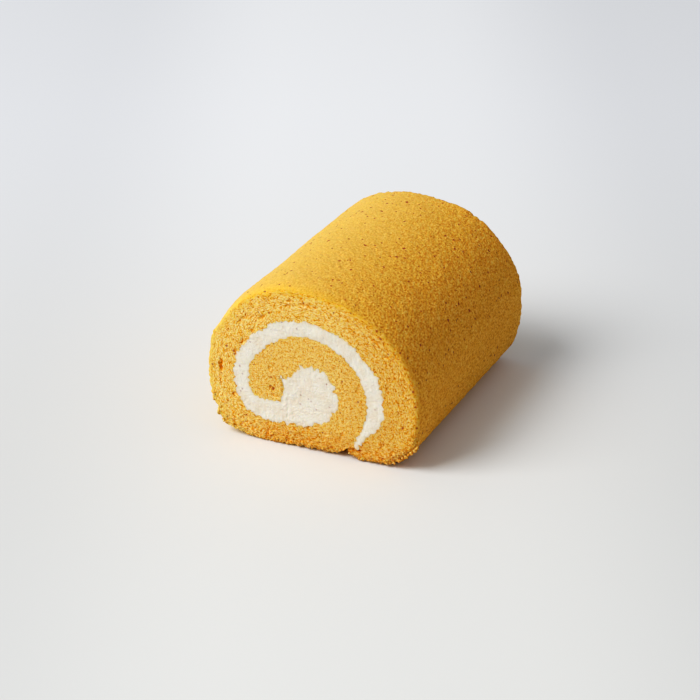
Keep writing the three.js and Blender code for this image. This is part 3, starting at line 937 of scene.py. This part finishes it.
def filled(outline, step):
    """Points and triangles of a flat sheet within a closed outline: the outline's own points come first
    and then those of a grid that lie inside it and clear of it, all joined by Delaunay's rule. A point is
    inside if a level line from it to the right crosses the outline an odd number of times."""
    lines = [np.arange(low, high, step) for low, high in zip(outline.min(0), outline.max(0))]
    grid = np.stack(np.meshgrid(*lines), -1).reshape(-1, 2)
    ahead = np.roll(outline, -1, axis=0)
    crosses = (outline[:, 1] > grid[:, None, 1]) != (ahead[:, 1] > grid[:, None, 1])
    rise = np.where(ahead[:, 1] == outline[:, 1], 1, ahead[:, 1] - outline[:, 1])
    meets = outline[:, 0] + (ahead - outline)[:, 0] * (grid[:, None, 1] - outline[:, 1]) / rise
    is_inside = (crosses & (grid[:, None, 0] < meets)).sum(1) % 2 == 1
    grid = grid[is_inside & (from_outline(outline, grid) > GRID_CLEAR * step)]
    points = [Vector(point) for point in np.vstack([outline, grid]).tolist()]
    loop = np.arange(len(outline))
    edges = np.stack([loop, np.roll(loop, -1)], -1).tolist()
    points, _, triangles, *_ = delaunay_2d_cdt(points, edges, [], KEEP_INSIDE, SAME_PLACE)
    return np.array(points), np.array(triangles)


def from_outline(outline, points):
    """The distance of each point from the nearest one of an outline."""
    return np.hypot(*np.moveaxis(points[:, None] - outline, -1, 0)).min(1)


def cream_face(flat, side):
    """A cut face of the cream, at its flat places: waves, faint upright drag marks, knife lines and
    ridges, sunk a little at the borders. Crumbs have coloured it there and towards its tail."""
    x, z = flat.T
    from_border = from_outline(cream_outline, flat)
    seed = 200 if side < 0 else 210
    drag = 0.05 * noise(0.9, seed + 2, x, z / 9)
    strokes = stroke_depth(KNIFE_LINES, x, z) - stroke_depth(RIDGES, x, z) if side < 0 else 0
    sunk = np.maximum(CREAM_SINK + waves(CREAM_WAVES, seed, x, z) + drag + strokes, 0)
    sunk = sunk + 0.08 * smooth_step(from_border, 0.5, 0)
    soak = np.exp(-((from_border / SOAK_REACH) ** 2)) * (0.6 + 0.4 * noise(1.3, seed + 3, x, z))
    flecks = fleck_shade(CREAM_FLECKS, x, z) if side < 0 else 0 * x
    soak = np.maximum(soak, smooth_step(z, 8.5, 4.5) * (0.75 + 0.5 * noise(0.9, seed + 4, x, z)))
    return np.stack([x, side * (HALF_LENGTH - sunk), z], -1)[:, None], {"soak": soak, "fleck": flecks}


cream_outline = np.vstack([
    outside - left_of(smooth_outside) * CREAM_OVERLAP,
    (inside + left_of(smooth_inside) * CREAM_OVERLAP)[::-1],
])
cream_outline = cream_outline[:: round(CREAM_STEP / BORDER_STEP)]
cream_flat, cream_sheet = filled(cream_outline, CREAM_STEP)
cream_grids = [cream_face(cream_flat, side) for side in (-1, 1)]
cream_loop = np.arange(len(cream_outline) + 1) % len(cream_outline)
cream_faces = [
    cream_sheet,
    cream_sheet[:, ::-1] + len(cream_flat),
    quilt(np.stack([cream_loop, cream_loop + len(cream_flat)])),
]

CREAM_WHITE = rgb(238, 231, 215)
CREAM_SHADE = rgb(233, 221, 200)
CREAM_SOAKED = rgb(236, 198, 138)  # where crumbs have coloured it
CREAM_SPECK = rgb(156, 98, 90)
CREAM_BUMP = 0.0006  # metres

cream_finish, cream_shader, cream_place = new_finish("whipped_cream", {
    "Roughness": 0.55, "Specular IOR Level": 0.3, "Subsurface Weight": 0.4,
    "Subsurface Radius": (1, 0.8, 0.5), "Subsurface Scale": 0.002,
})
cream_colour = cloud(cream_place, 3.5, 3).rise(0.35, 0.7).colour(CREAM_WHITE, CREAM_SHADE)
cream_colour = (mark_of(cream_place, "soak") * 0.8).colour(cream_colour, CREAM_SOAKED)
cream_specks = specks(cream_place, cell=2.2, share=0.08, radius=0.4, seed=90, soft=0.15)
cream_specks = cream_specks.greater(mark_of(cream_place, "fleck"))
(cream_specks * 0.7).colour(cream_colour, CREAM_SPECK).feed(cream_shader, "Base Color")
cream_height = cloud(cream_place, 0.8, 4)
bump = {"Height": cream_height, "Strength": 1.0, "Distance": CREAM_BUMP}
cream_height.node("Bump", {}, bump).feed(cream_shader, "Normal")

cream = make_piece("whipped_cream", cream_grids, cream_faces, cream_finish)
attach(cream, "root")
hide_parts("cream_filling")
